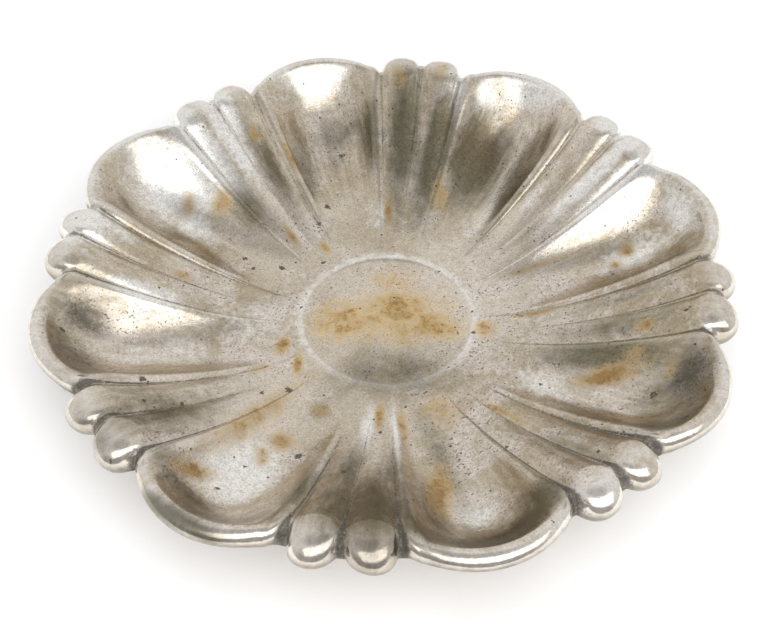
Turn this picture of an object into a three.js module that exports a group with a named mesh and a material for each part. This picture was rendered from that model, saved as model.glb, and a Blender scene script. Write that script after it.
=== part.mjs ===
// A flower-shaped fruit plate: one pressed metal sheet on a soldered foot ring.
// Millimetres, +Z up, origin on the table under the plate's axis, one petal centred on +X.
import * as THREE from 'three';

// Plan of the flower
const PETAL_COUNT = 8;
const TIP_RADIUS = 140; // axis to the outermost point of a petal
const PETAL_END_RADIUS = 37.5; // radius of a petal's round end, seen from above
const PETAL_HALF_ANGLE = THREE.MathUtils.degToRad(14.1); // petal centre to the crease beside it
const FLARE_ANGLE = THREE.MathUtils.degToRad(1.2); // how far the creases bend towards a petal's tip
const FLARE_START = 100; // axis to where the creases begin to bend
const BULB_REACH = 136.5; // axis to the outermost point of a rib's bulb
const GROOVE_REACH = 131; // axis to the notch between two bulbs

// Sheet, medallion and the flat land round it
const SHEET = 1;
const MEDALLION_RADIUS = 35.6;
const MEDALLION_WALL = 2.6; // plan width of the sloping edge of the medallion
const MEDALLION_STEP = 0.7; // drop across that edge
const MEDALLION_DOME = 1.9; // rise from that edge to the centre
const LAND_WIDTH = 10.4; // flat land, medallion edge to the foot of the bowl
const LAND_MARGIN = 1.3; // land kept clear at both sides of the soldered seat

// Bowl: the height of the creases beside the petals
const BOWL_SLOPE = 0.165;
const BOWL_CURVE = 150; // radius of the upward curve
const BOWL_EASE = 5; // plan length over which the slope sets in

// Petal hollow
const FLOOR_SHARE = 0.35; // height of the petal's floor against that of its creases
const SIDE_POWER = 2.2; // how late the side walls turn up
const END_POWER = 4.2; // how late the end wall turns up
const END_WALL_RUN = 52; // plan length over which the end wall turns up
const LIP_EASE = 22; // plan length over which the petal's edge levels out
const RIDGE_HEIGHT = 1.6; // bead along a petal's side, at its outer end
const RIDGE_START = 1; // plan distance from the foot of the bowl to the bead's inner end
const RIDGE_POWER = 0.75; // how late the bead grows towards the rim
const RIDGE_STATION = 0.87; // inner side of the bead, petal centre to crease as 0 to 1
const RIDGE_CREST = 0.4; // crest of the bead, from its inner side to the crease as 0 to 1
const RIDGE_SHOULDER = 0.7; // height of the bead's inner side against its crest

// Ribs
const RIB_HEIGHT = 3.2; // crest above the creases at the rim
const RIB_START = 1; // plan distance from the foot of the bowl to the rib's inner end
const RIB_POWER = 1.1; // how late the rib swells towards the rim
const RIB_DOME = 0.95; // roundness of the rib's section, 1 for a half circle
const GROOVE_LIFT = 1.2; // groove between two ribs above the creases at the rim
const BULB_DOME = 0.97; // roundness of the bulb in plan
const VALLEY_SHARE = 0.13; // share of a rib's width left to the valleys beside its bulb
const VALLEY_POWER = 3; // how late the valleys open towards the rim

// Rolled edge: rise to the crest, then the roll over it, at the tip, notch, bulb and groove
const RISE_WIDTH = { tip: 2.2, notch: 1, bulb: 8, groove: 1.5 };
const RISE_SLOPE = { tip: 0.6, notch: 0.5, bulb: 0.35, groove: 0.5 }; // where the rise begins
const ROLL_WIDTH = { tip: 4.2, notch: 5.6, bulb: 9, groove: 5.8 };
const ROLL_DEPTH = { tip: 4, notch: 6, bulb: 7, groove: 6 }; // height of a quarter turn of the roll
const NOTCH_POWER = 8; // how late a petal's edge changes from its tip to its notch

// Foot ring and its solder
const FOOT_HEIGHT = 7;
const FOOT_WALL = 1.2;
const FOOT_FLARE = 2.4; // flange edge out to the standing bead
const BEAD_WIDTH = 2; // flat that stands on the table
const BEAD_ROUND = 0.6;
const SOLDER_LEG = 0.8;

// Facets
const PETAL_STATIONS = [0, 0.3, 0.6, 0.87, 0.925, 1];
const RIB_STATIONS = [1.07, 1.18, 1.33, 1.5, 1.67, 1.82, 1.93, 2];
const BOWL_ROWS = [0.17, 0.36, 0.55, 0.73, 0.89, 1];
const RISE_ROWS = [0.5, 1];
const ROLL_TURNS = [30, 60, 90, 115].map(THREE.MathUtils.degToRad); // round the rolled edge
const MEDALLION_RINGS = [0.4, 0.75, 1];
const INNER_COLUMNS = 5 * PETAL_COUNT;
const FOOT_COLUMNS = 48;

// Worked-out sizes
const HALF_PITCH = Math.PI / PETAL_COUNT;
const BOWL_START = MEDALLION_RADIUS + LAND_WIDTH;
const SEAT_INNER = MEDALLION_RADIUS + LAND_MARGIN;
const SEAT_OUTER = BOWL_START - LAND_MARGIN;
const LAND_TOP = FOOT_HEIGHT + SHEET;
const BULB_CREST = BULB_REACH - ROLL_WIDTH.bulb;

const SILVER = new THREE.MeshStandardMaterial({ color: 0xc9c1b1, roughness: 0.32, metalness: 1 });
const FOOT_SILVER = new THREE.MeshStandardMaterial({ color: 0xbcb4a3, roughness: 0.38, metalness: 1 });
const SOLDER = new THREE.MeshStandardMaterial({ color: 0x9a968d, roughness: 0.5, metalness: 1 });

const { clamp, lerp } = THREE.MathUtils;

// Share of a round section's height left at u, from 1 at its middle to 0 at either side.
function dome(u, roundness) {
  const side = Math.sqrt(1 - roundness ** 2);
  return (Math.sqrt(1 - (roundness * u) ** 2) - side) / (1 - side);
}

// A station is a place across half a petal and one rib: 0 on the petal's centre line, 1 on the
// crease beside it, 1.5 on the rib's crest and 2 in the groove between two ribs.
function stationAngle(station, radius) {
  const bend = clamp((radius - FLARE_START) / (TIP_RADIUS - FLARE_START), 0, 1) ** 2;
  const crease = PETAL_HALF_ANGLE - FLARE_ANGLE * bend;
  return station <= 1 ? station * crease : lerp(crease, HALF_PITCH, station - 1);
}

// Place across a rib, from -1 on the crease to 1 in the groove.
function acrossRib(station) {
  return clamp(2 * station - 3, -1, 1);
}

// The same place between the valleys, which take a share of the rib's width at both sides.
function acrossBulb(station, share) {
  return clamp(acrossRib(station) / (1 - share), -1, 1);
}

// A size of the rolled edge at a station, from its values at the tip, notch, bulb and groove.
function rimSize(sizes, station) {
  if (station <= 1) return lerp(sizes.tip, sizes.notch, station ** NOTCH_POWER);
  const side = acrossRib(station) < 0 ? sizes.notch : sizes.groove;
  return lerp(side, sizes.bulb, dome(acrossBulb(station, VALLEY_SHARE), RIB_DOME));
}

function petalReach(station) {
  const centre = TIP_RADIUS - PETAL_END_RADIUS;
  const angle = stationAngle(station, BULB_CREST);
  const side = Math.min(centre * Math.sin(angle), PETAL_END_RADIUS);
  return centre * Math.cos(angle) + Math.sqrt(PETAL_END_RADIUS ** 2 - side ** 2);
}

// The outline from above: a round end on each petal and a round bulb on each rib.
function outline(station) {
  if (station <= 1) return petalReach(station);
  const notch = acrossRib(station) < 0 ? petalReach(1) : GROOVE_REACH;
  return lerp(notch, BULB_REACH, dome(acrossBulb(station, VALLEY_SHARE), BULB_DOME));
}

function crest(station) {
  return outline(station) - rimSize(ROLL_WIDTH, station);
}

function riseStart(station) {
  return crest(station) - rimSize(RISE_WIDTH, station);
}

function bowlHeight(radius) {
  const run = Math.max(radius - BOWL_START, 0);
  return BOWL_SLOPE * (Math.hypot(run, BOWL_EASE) - BOWL_EASE) + run ** 2 / (2 * BOWL_CURVE);
}

function bowlSlope(radius) {
  const run = Math.max(radius - BOWL_START, 0);
  return BOWL_SLOPE * run / Math.hypot(run, BOWL_EASE) + run / BOWL_CURVE;
}

// The petal's edge follows the bowl, then levels out towards the tip.
function petalEdge(radius) {
  const level = riseStart(0);
  const start = level - LIP_EASE;
  if (radius <= start) return bowlHeight(radius);
  const run = Math.min(radius, level) - start;
  return bowlHeight(start) + bowlSlope(start) * (run - run ** 2 / (2 * LIP_EASE));
}

// Growth of the side bead and of the rib, 0 at the inner end to 1 at the rim's notch.
function growth(radius, start) {
  return clamp((radius - start) / (riseStart(1) - start), 0, 1);
}

// Top of the sheet above the land, inside the rise of the edge.
function reliefHeight(radius, station) {
  const crease = bowlHeight(radius);
  if (station > 1) {
    const grown = growth(radius, BOWL_START + RIB_START);
    const swell = dome(acrossBulb(station, VALLEY_SHARE * grown ** VALLEY_POWER), RIB_DOME);
    const lift = GROOVE_LIFT * grown * (acrossRib(station) + 1) / 2;
    return crease + lift + RIB_HEIGHT * grown ** RIB_POWER * swell;
  }
  const edge = petalEdge(radius);
  const ridge = RIDGE_HEIGHT * growth(radius, BOWL_START + RIDGE_START) ** RIDGE_POWER;
  if (station > RIDGE_STATION) {
    const out = (station - RIDGE_STATION) / (1 - RIDGE_STATION);
    const fall = out > RIDGE_CREST
      ? ((out - RIDGE_CREST) / (1 - RIDGE_CREST)) ** 2
      : (1 - RIDGE_SHOULDER) * (1 - out / RIDGE_CREST) ** 2;
    return lerp(edge, crease, out ** 2) + ridge * (1 - fall);
  }
  const floor = FLOOR_SHARE * edge;
  const side = (station / RIDGE_STATION) ** SIDE_POWER;
  const toEnd = 1 - (riseStart(station) - radius) / END_WALL_RUN;
  const end = clamp(toEnd, 0, 1) ** END_POWER;
  return lerp(floor, edge + RIDGE_SHOULDER * ridge, side + end - side * end);
}

// Height gained between the start of the rise and the crest.
function riseHeight(station) {
  return rimSize(RISE_SLOPE, station) * rimSize(RISE_WIDTH, station) / 2;
}

function crestHeight(station) {
  return reliefHeight(riseStart(station), station) + riseHeight(station);
}

// Radius and height of the sheet's top along one station, from the bowl's foot to the trimmed edge.
function stationProfile(station) {
  const start = riseStart(station);
  const top = crest(station);
  const topHeight = crestHeight(station);
  const rollWidth = rimSize(ROLL_WIDTH, station);
  const rollDepth = rimSize(ROLL_DEPTH, station);
  const points = [[BOWL_START, 0]];
  for (const share of BOWL_ROWS) {
    const radius = lerp(BOWL_START, start, share);
    points.push([radius, reliefHeight(radius, station)]);
  }
  for (const share of RISE_ROWS) {
    const below = riseHeight(station) * (1 - share) ** 2;
    points.push([lerp(start, top, share), topHeight - below]);
  }
  for (const turn of ROLL_TURNS) {
    points.push([top + rollWidth * Math.sin(turn), topHeight - rollDepth * (1 - Math.cos(turn))]);
  }
  return points;
}

// Stations all round the plate: the middle of a petal, the side of it and the profile there.
function columnsAllRound() {
  const half = [...PETAL_STATIONS, ...RIB_STATIONS];
  const mirrored = half.slice(1, -1).reverse();
  const columns = [];
  for (let petal = 0; petal < PETAL_COUNT; petal++) {
    const middle = petal * 2 * HALF_PITCH;
    for (const station of half) {
      columns.push({ station, middle, side: 1, profile: stationProfile(station) });
    }
    for (const station of mirrored) {
      columns.push({ station, middle: middle + 2 * HALF_PITCH, side: -1, profile: stationProfile(station) });
    }
  }
  return columns;
}

function circle(radius, height, count) {
  const points = [];
  for (let i = 0; i < count; i++) {
    const angle = 2 * Math.PI * i / count;
    points.push({ angle, x: radius * Math.cos(angle), y: radius * Math.sin(angle), z: height });
  }
  return points;
}

// Rings of the sheet's top, from the medallion's middle out to the trimmed edge.
function sheetRings() {
  const rings = [];
  const floorRadius = MEDALLION_RADIUS - MEDALLION_WALL;
  for (const share of MEDALLION_RINGS) {
    const depth = MEDALLION_STEP - MEDALLION_DOME * (1 - share ** 2);
    rings.push(circle(floorRadius * share, LAND_TOP - depth, INNER_COLUMNS));
  }
  rings.push(circle(floorRadius + MEDALLION_WALL / 2, LAND_TOP - MEDALLION_STEP / 2, INNER_COLUMNS));
  for (const radius of [MEDALLION_RADIUS, SEAT_INNER, SEAT_OUTER]) {
    rings.push(circle(radius, LAND_TOP, INNER_COLUMNS));
  }
  const columns = columnsAllRound();
  for (let row = 0; row < columns[0].profile.length; row++) {
    rings.push(columns.map(({ station, middle, side, profile }) => {
      const [radius, height] = profile[row];
      const angle = middle + side * stationAngle(station, radius);
      return { angle, x: radius * Math.cos(angle), y: radius * Math.sin(angle), z: LAND_TOP + height };
    }));
  }
  return rings;
}

// Triangles between two rings, stepping round whichever ring lies behind in angle.
function stitch(inner, outer, innerStart, outerStart, triangles) {
  let i = 0;
  let o = 0;
  const angleAt = (ring, n) => ring[n % ring.length].angle + 2 * Math.PI * Math.floor(n / ring.length);
  while (i < inner.length || o < outer.length) {
    const stepOuter = i === inner.length
      || (o < outer.length && angleAt(outer, o + 1) <= angleAt(inner, i + 1));
    const a = innerStart + i % inner.length;
    const b = outerStart + o % outer.length;
    if (stepOuter) {
      o += 1;
      triangles.push([a, b, outerStart + o % outer.length]);
    } else {
      i += 1;
      triangles.push([a, b, innerStart + i % inner.length]);
    }
  }
}

// Each point's direction out of the sheet, lengthened at a bend so that the sheet keeps its thickness.
function offsetDirections(points, triangles) {
  const faces = triangles.map(([a, b, c]) => {
    const normal = new THREE.Vector3().subVectors(points[b], points[a]);
    return normal.cross(new THREE.Vector3().subVectors(points[c], points[a])).normalize();
  });
  const directions = points.map(() => new THREE.Vector3());
  triangles.forEach((corners, n) => {
    corners.forEach((corner, i) => {
      const before = points[corners[(i + 2) % 3]].clone().sub(points[corner]);
      const after = points[corners[(i + 1) % 3]].clone().sub(points[corner]);
      directions[corner].addScaledVector(faces[n], before.angleTo(after));
    });
  });
  directions.forEach((direction) => direction.normalize());
  const least = points.map(() => 1);
  triangles.forEach((corners, n) => {
    for (const corner of corners) least[corner] = Math.min(least[corner], directions[corner].dot(faces[n]));
  });
  const sharpest = 0.65;
  directions.forEach((direction, n) => direction.divideScalar(Math.max(least[n], sharpest)));
  return directions;
}

// The pressed sheet: its top, the same surface one thickness below, and the trimmed edge between.
function pressedSheet() {
  const rings = sheetRings();
  const points = [new THREE.Vector3(0, 0, LAND_TOP - MEDALLION_STEP + MEDALLION_DOME)];
  const starts = rings.map((ring) => {
    const start = points.length;
    for (const { x, y, z } of ring) points.push(new THREE.Vector3(x, y, z));
    return start;
  });
  const top = [];
  for (let i = 0; i < INNER_COLUMNS; i++) top.push([0, 1 + i, 1 + (i + 1) % INNER_COLUMNS]);
  for (let n = 1; n < rings.length; n++) {
    stitch(rings[n - 1], rings[n], starts[n - 1], starts[n], top);
  }
  const under = points.length;
  const directions = offsetDirections(points, top);
  const lower = points.map((point, n) => point.clone().addScaledVector(directions[n], -SHEET));
  const triangles = [...top, ...top.map(([a, b, c]) => [under + a, under + c, under + b])];
  const edgeStart = starts[starts.length - 1];
  const edgeCount = rings[rings.length - 1].length;
  for (let i = 0; i < edgeCount; i++) {
    const here = edgeStart + i;
    const next = edgeStart + (i + 1) % edgeCount;
    triangles.push([here, under + here, next], [next, under + here, under + next]);
  }
  const geometry = new THREE.BufferGeometry().setFromPoints([...points, ...lower]);
  geometry.setIndex(triangles.flat());
  return geometry;
}

// A ring turned from a closed section of radius and height pairs, given anticlockwise.
function turnedRing(section) {
  const points = section.map(([radius, height]) => new THREE.Vector2(radius, height));
  points.push(points[0].clone());
  const geometry = new THREE.LatheGeometry(points, FOOT_COLUMNS);
  return geometry.rotateX(Math.PI / 2);
}

// Foot ring: a flat flange under the land, a flared wall and a bead that stands on the table.
function footRing() {
  const flangeOuter = SEAT_OUTER - SOLDER_LEG;
  const flangeInner = SEAT_INNER + SOLDER_LEG;
  const flangeUnder = FOOT_HEIGHT - FOOT_WALL;
  const beadInner = flangeOuter + FOOT_FLARE - BEAD_WIDTH;
  const beadTop = FOOT_WALL + BEAD_ROUND;
  return turnedRing([
    [flangeInner, FOOT_HEIGHT],
    [flangeInner, flangeUnder],
    [flangeOuter - FOOT_WALL, flangeUnder],
    [beadInner, beadTop],
    [beadInner - BEAD_ROUND, BEAD_ROUND],
    [beadInner, 0],
    [beadInner + BEAD_WIDTH, 0],
    [beadInner + BEAD_WIDTH + BEAD_ROUND, BEAD_ROUND],
    [beadInner + BEAD_WIDTH, beadTop],
    [flangeOuter, flangeUnder],
    [flangeOuter, FOOT_HEIGHT],
  ]);
}

// Solder fillets in the two corners between the flange and the land.
function outerSeam() {
  const corner = SEAT_OUTER - SOLDER_LEG;
  return turnedRing([
    [corner, FOOT_HEIGHT],
    [corner, FOOT_HEIGHT - SOLDER_LEG],
    [corner + SOLDER_LEG, FOOT_HEIGHT],
  ]);
}

function innerSeam() {
  const corner = SEAT_INNER + SOLDER_LEG;
  return turnedRing([
    [corner, FOOT_HEIGHT],
    [corner - SOLDER_LEG, FOOT_HEIGHT],
    [corner, FOOT_HEIGHT - SOLDER_LEG],
  ]);
}

function piece(name, geometry, material) {
  const mesh = new THREE.Mesh(geometry, material);
  mesh.name = name;
  return mesh;
}

const plate = new THREE.Group();
plate.add(piece('dish_body', pressedSheet(), SILVER));
plate.add(piece('foot_ring', footRing(), FOOT_SILVER));
plate.add(piece('outer_solder_seam', outerSeam(), SOLDER));
plate.add(piece('inner_solder_seam', innerSeam(), SOLDER.clone()));

export default plate;
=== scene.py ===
import math

import bpy
import numpy as np
from mathutils import Matrix, Vector


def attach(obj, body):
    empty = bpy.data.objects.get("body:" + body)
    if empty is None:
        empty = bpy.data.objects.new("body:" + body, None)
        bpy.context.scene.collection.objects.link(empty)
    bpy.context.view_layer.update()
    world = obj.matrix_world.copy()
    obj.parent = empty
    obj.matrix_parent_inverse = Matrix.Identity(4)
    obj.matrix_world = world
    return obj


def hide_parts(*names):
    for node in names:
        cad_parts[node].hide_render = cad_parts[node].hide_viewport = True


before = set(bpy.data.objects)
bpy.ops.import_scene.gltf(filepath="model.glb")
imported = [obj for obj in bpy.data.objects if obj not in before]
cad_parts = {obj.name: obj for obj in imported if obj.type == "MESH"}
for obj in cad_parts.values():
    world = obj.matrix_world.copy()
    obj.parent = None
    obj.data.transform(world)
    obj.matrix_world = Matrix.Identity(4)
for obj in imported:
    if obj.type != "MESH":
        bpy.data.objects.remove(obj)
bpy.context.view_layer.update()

# The dish is one sheet of brass, a millimetre thick, pressed in a die into eight spoon-like
# petals with a pair of ribs between each two, its edge rolled over and down all round. It was
# silver-plated afterwards, and long use has dulled the plating and worn it through in places.

MILLIMETRE = 0.001  # sizes of meshes are in millimetres, those of lamps and camera in metres

# The outline: round petal ends, the creases beside them, and the reach of bulbs and grooves.
PETAL_COUNT = 8
HALF_PITCH = math.pi / PETAL_COUNT
TIP_RADIUS = 140.0
PETAL_END_RADIUS = 37.5
CREASE_ANGLE = math.radians(14.1)
FLARE_ANGLE = math.radians(1.2)
FLARE_START = 100.0
BULB_REACH = 136.5
GROOVE_REACH = 131.0
SHEET = 1.0

# The medallion's edge, step and dome, and the flat land round it.
LAND_TOP = 8.0
MEDALLION_RADIUS = 35.6
MEDALLION_WALL = 2.6
MEDALLION_STEP = 0.5
MEDALLION_DOME = 1.9

# The bowl of the creases, and the hollow of a petal between its side and end walls.
BOWL_START = 46.0
BOWL_SLOPE = 0.165
BOWL_CURVE = 150.0
BOWL_EASE = 5.0
FLOOR_SHARE = 0.35
SIDE_POWER = 2.2
END_POWER = 4.2
END_WALL_RUN = 52.0
LIP_EASE = 22.0

# The bead along each side of a petal, and the ribs with the valleys beside them.
RIDGE_HEIGHT = 1.5
RIDGE_START = 39.0
RIDGE_POWER = 0.7
RIDGE_STATION = 0.83
RIDGE_CREST = 0.45
RIDGE_SHOULDER = 0.7
RIB_HEIGHT = 3.2
RIB_START = 40.0
RIB_POWER = 1.5
RIB_DOME = 0.95
RIB_DOME_START = 0.5
RIB_DOME_POWER = 6
GROOVE_LIFT = 1.2
BULB_DOME = 0.97
VALLEY_SHARE = 0.18
VALLEY_POWER = 3

# The rise to the edge's crest, and the roll over it, at four places of the rim.
RISE_WIDTH = {"tip": 2.2, "notch": 1.0, "bulb": 8.0, "groove": 1.5}
RISE_SLOPE = {"tip": 0.42, "notch": 0.5, "bulb": 0.35, "groove": 0.5}
ROLL_WIDTH = {"tip": 4.2, "notch": 5.6, "bulb": 9.0, "groove": 5.8}
ROLL_DEPTH = {"tip": 4.0, "notch": 6.0, "bulb": 7.0, "groove": 6.0}
NOTCH_POWER = 8
ROLL_TURN = math.radians(115)

# Rings of the mesh in each stretch of the sheet, and columns over half a petal and one rib.
MEDALLION_RINGS = 14
WALL_RINGS = 6
LAND_RINGS = 6
BOWL_RINGS = 42
BOWL_BUNCH = 1.1
RISE_RINGS = 5
ROLL_RINGS = 12
PETAL_COLUMNS = 15
BEAD_COLUMNS = 8
RIB_COLUMNS = 25
RIB_BUNCH = 0.55


def lerp(first, second, share):
    """A straight blend from first at share 0 to second at share 1."""
    return first + (second - first) * share


def ramp(values, low, high):
    """0 up to low, 1 from high on, straight between; falling where low is above high."""
    return np.clip((values - low) / (high - low), 0, 1)


def dome(across, roundness):
    """Height of an arc of a circle over its width: 1 in the middle at 0, 0 at -1 and 1."""
    side = np.sqrt(1 - roundness**2)
    return (np.sqrt(1 - (roundness * across) ** 2) - side) / (1 - side)


def crease_angle(radius):
    """Angle from a petal's middle to its crease: it narrows by the square of the way to the tip."""
    return CREASE_ANGLE - FLARE_ANGLE * ramp(radius, FLARE_START, TIP_RADIUS) ** 2


def station_angle(station, radius):
    """Angle of a station: 0 is the petal's middle, 1 the crease, 1.5 a rib's crest, 2 the groove."""
    crease = crease_angle(radius)
    return np.where(station <= 1, station * crease, lerp(crease, HALF_PITCH, station - 1))


def across_rib(station):
    """Place across a rib: -1 on the crease, 0 on the crest, 1 in the groove."""
    return np.clip(2 * station - 3, -1, 1)


def across_bulb(station, valley):
    """The same place with a share of the rib's width left flat as a valley at both sides."""
    return np.clip(across_rib(station) / (1 - valley), -1, 1)


def edge_size(sizes, station):
    """A size of the rolled edge: late from tip to notch by a power, domed over each bulb."""
    petal = lerp(sizes["tip"], sizes["notch"], np.clip(station, 0, 1) ** NOTCH_POWER)
    side = np.where(across_rib(station) < 0, sizes["notch"], sizes["groove"])
    bulb = lerp(side, sizes["bulb"], dome(across_bulb(station, VALLEY_SHARE), RIB_DOME))
    return np.where(station <= 1, petal, bulb)


def petal_reach(station):
    """Distance from the axis to the round end of a petal, a circle about a point on its middle."""
    centre = TIP_RADIUS - PETAL_END_RADIUS
    angle = np.minimum(station, 1) * crease_angle(BULB_REACH - ROLL_WIDTH["bulb"])
    offset = np.minimum(centre * np.sin(angle), PETAL_END_RADIUS)
    return centre * np.cos(angle) + np.sqrt(PETAL_END_RADIUS**2 - offset**2)


def outline(station):
    """Distance from the axis to the plate's outline: petal ends, and a dome over each bulb."""
    notch = np.where(across_rib(station) < 0, petal_reach(1.0), GROOVE_REACH)
    bulb = lerp(notch, BULB_REACH, dome(across_bulb(station, VALLEY_SHARE), BULB_DOME))
    return np.where(station <= 1, petal_reach(station), bulb)


def crest_radius(station):
    """Distance from the axis to the top of the rolled edge."""
    return outline(station) - edge_size(ROLL_WIDTH, station)


def rise_start(station):
    """Distance from the axis to where the sheet starts its rise to the edge."""
    return crest_radius(station) - edge_size(RISE_WIDTH, station)


def bowl(radius):
    """Height of the creases: a slope that sets in gently, plus a square term that steepens it."""
    run = np.maximum(radius - BOWL_START, 0)
    return BOWL_SLOPE * (np.hypot(run, BOWL_EASE) - BOWL_EASE) + run**2 / (2 * BOWL_CURVE)


def petal_side(radius):
    """Height of a petal's side: the bowl, levelled off by a parabola over the last stretch."""
    level = rise_start(0.0)
    start = level - LIP_EASE
    run = start - BOWL_START
    slope = BOWL_SLOPE * run / math.hypot(run, BOWL_EASE) + run / BOWL_CURVE
    past = np.clip(radius, start, level) - start
    eased = bowl(start) + slope * (past - past**2 / (2 * LIP_EASE))
    return np.where(radius <= start, bowl(radius), eased)


def growth(radius, start):
    """Straight growth from 0 at start to 1 where the notches begin."""
    return ramp(radius, start, rise_start(1.0))


def relief(radius, station):
    """Height of the pressed sheet over the land.

    A rib is a dome across, swelling and rounding by powers of its growth. The bead beside a
    petal is two parabolas back to back. The petal's floor is a share of its side's height, and
    its side and end walls come up by a power of the way to them.
    """
    base = bowl(radius)
    grown = growth(radius, RIB_START)
    across = across_bulb(station, VALLEY_SHARE * grown**VALLEY_POWER)
    lift = grown * GROOVE_LIFT * (across_rib(station) + 1) / 2
    roundness = lerp(RIB_DOME_START, RIB_DOME, grown**RIB_DOME_POWER)
    rib = base + RIB_HEIGHT * grown**RIB_POWER * dome(across, roundness) + lift

    side = petal_side(radius)
    ridge = RIDGE_HEIGHT * growth(radius, RIDGE_START) ** RIDGE_POWER
    out = ramp(station, RIDGE_STATION, 1)
    inner_fall = (1 - RIDGE_SHOULDER) * (1 - out / RIDGE_CREST) ** 2
    outer_fall = ((out - RIDGE_CREST) / (1 - RIDGE_CREST)) ** 2
    bead = lerp(side, base, out**2) + ridge * (1 - np.where(out > RIDGE_CREST, outer_fall, inner_fall))

    wall = ramp(station, 0, RIDGE_STATION) ** SIDE_POWER
    end = ramp(radius, rise_start(station) - END_WALL_RUN, rise_start(station)) ** END_POWER
    hollow = lerp(FLOOR_SHARE * side, side + RIDGE_SHOULDER * ridge, wall + end - wall * end)
    return np.where(station > 1, rib, np.where(station > RIDGE_STATION, bead, hollow))


def shares(count, bunch=1.0):
    """A column of count shares from above 0 to 1, bunched towards 1 by a power above 1."""
    return 1 - (1 - np.linspace(0, 1, count + 1)[1:, None]) ** bunch


def sheet_rings(station):
    """Radius and height of the sheet's upper face, one row for each ring from the middle outwards.

    Domed medallion, its sloping edge, flat land, bowl, rise to the rim's crest, and the roll
    over it, which is an ellipse's arc.
    """
    flat = np.zeros_like(station)
    floor_radius = MEDALLION_RADIUS - MEDALLION_WALL
    medallion, wall = shares(MEDALLION_RINGS), shares(WALL_RINGS)
    land_radius = lerp(MEDALLION_RADIUS, BOWL_START, shares(LAND_RINGS)) + flat
    start, top = rise_start(station), crest_radius(station)
    rise = edge_size(RISE_SLOPE, station) * edge_size(RISE_WIDTH, station) / 2
    height = relief(start, station) + rise
    bowl_radius = lerp(BOWL_START, start, shares(BOWL_RINGS, BOWL_BUNCH))
    turn = shares(ROLL_RINGS) * ROLL_TURN
    radii = [
        floor_radius * medallion + flat,
        floor_radius + MEDALLION_WALL * wall + flat,
        land_radius,
        bowl_radius,
        lerp(start, top, shares(RISE_RINGS)),
        top + edge_size(ROLL_WIDTH, station) * np.sin(turn),
    ]
    heights = [
        -MEDALLION_STEP + MEDALLION_DOME * (1 - medallion**2) + flat,
        -MEDALLION_STEP * (1 - wall**2 * (3 - 2 * wall)) + flat,
        relief(land_radius, station),
        relief(bowl_radius, station),
        height - rise * (1 - shares(RISE_RINGS)) ** 2,
        height - edge_size(ROLL_DEPTH, station) * (1 - np.cos(turn)),
    ]
    return np.concatenate(radii), np.concatenate(heights)


# Stations over half a petal and one rib, closer together at the bead and in the rib's two valleys.
across = np.linspace(-1, 1, RIB_COLUMNS)
bunched = lerp(across, np.sin(across * math.pi / 2), RIB_BUNCH)
half_stations = np.concatenate([
    np.linspace(0, RIDGE_STATION, PETAL_COLUMNS),
    np.linspace(RIDGE_STATION, 1, BEAD_COLUMNS)[1:],
    1.5 + bunched[1:] / 2,
])
half_radius, half_height = sheet_rings(half_stations[None, :])
half_angle = station_angle(half_stations[None, :], half_radius)
mirrored = np.concatenate([np.arange(len(half_stations)), np.arange(len(half_stations) - 2, 0, -1)])


def all_round(values):
    """A half-sector's columns, mirrored to a sector and repeated for all petals."""
    return np.tile(values[:, mirrored], PETAL_COUNT)


folded = half_angle[:, mirrored]
folded[:, len(half_stations):] = 2 * HALF_PITCH - folded[:, len(half_stations):]
sector = np.repeat(np.arange(PETAL_COUNT), len(mirrored)) * 2 * HALF_PITCH
angle = np.tile(folded, PETAL_COUNT) + sector
radius = all_round(half_radius)
height = all_round(half_height)

# No two petals came out of the tool and through the years quite alike: the creases wander by up
# to half a degree, the rim dips by up to half a millimetre, and the hollows are faintly dented.
# A wave is its count round the plate, its size in degrees or millimetres, and its phase.
CREASE_WAVES = [(3, 0.3, 0.7), (5, 0.2, 2.1)]
RIM_WAVES = [(2, 0.15, 0.6), (5, 0.1, 0.0)]
RIM_DIP = 0.25
DENT_DEPTH = 0.1
DENT_EAST = (0.21, 1.1, 0.13)
DENT_NORTH = (0.17, 0.8, 0.11)


def waves(angle, parts):
    """The sum of sine waves round the plate."""
    return sum(size * np.sin(count * angle + phase) for count, size, phase in parts)


def bent_waves(along, across, shape):
    """Sine waves along one way, bent by sine waves across it: pitch, bend and the bend's pitch."""
    pitch, bend, bend_pitch = shape
    return np.sin(pitch * along + bend * np.sin(bend_pitch * across))


spread = growth(radius, BOWL_START)
angle = angle + spread * np.radians(waves(angle, CREASE_WAVES))
height = height - spread * (RIM_DIP + waves(angle, RIM_WAVES))
east, north = radius * np.cos(angle), radius * np.sin(angle)
dents = bent_waves(east, north, DENT_EAST) * bent_waves(north, east, DENT_NORTH)
height = height + DENT_DEPTH * spread * (dents - 1)
top_face = np.stack([east, north, LAND_TOP + height], axis=-1)


def ring_normals(points):
    """Unit normals of rings of points: across the step round the ring and the step outwards."""
    round_step = np.roll(points, -1, axis=1) - np.roll(points, 1, axis=1)
    normal = np.cross(np.gradient(points, axis=0), round_step)
    return normal / np.linalg.norm(normal, axis=-1, keepdims=True)


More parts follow.
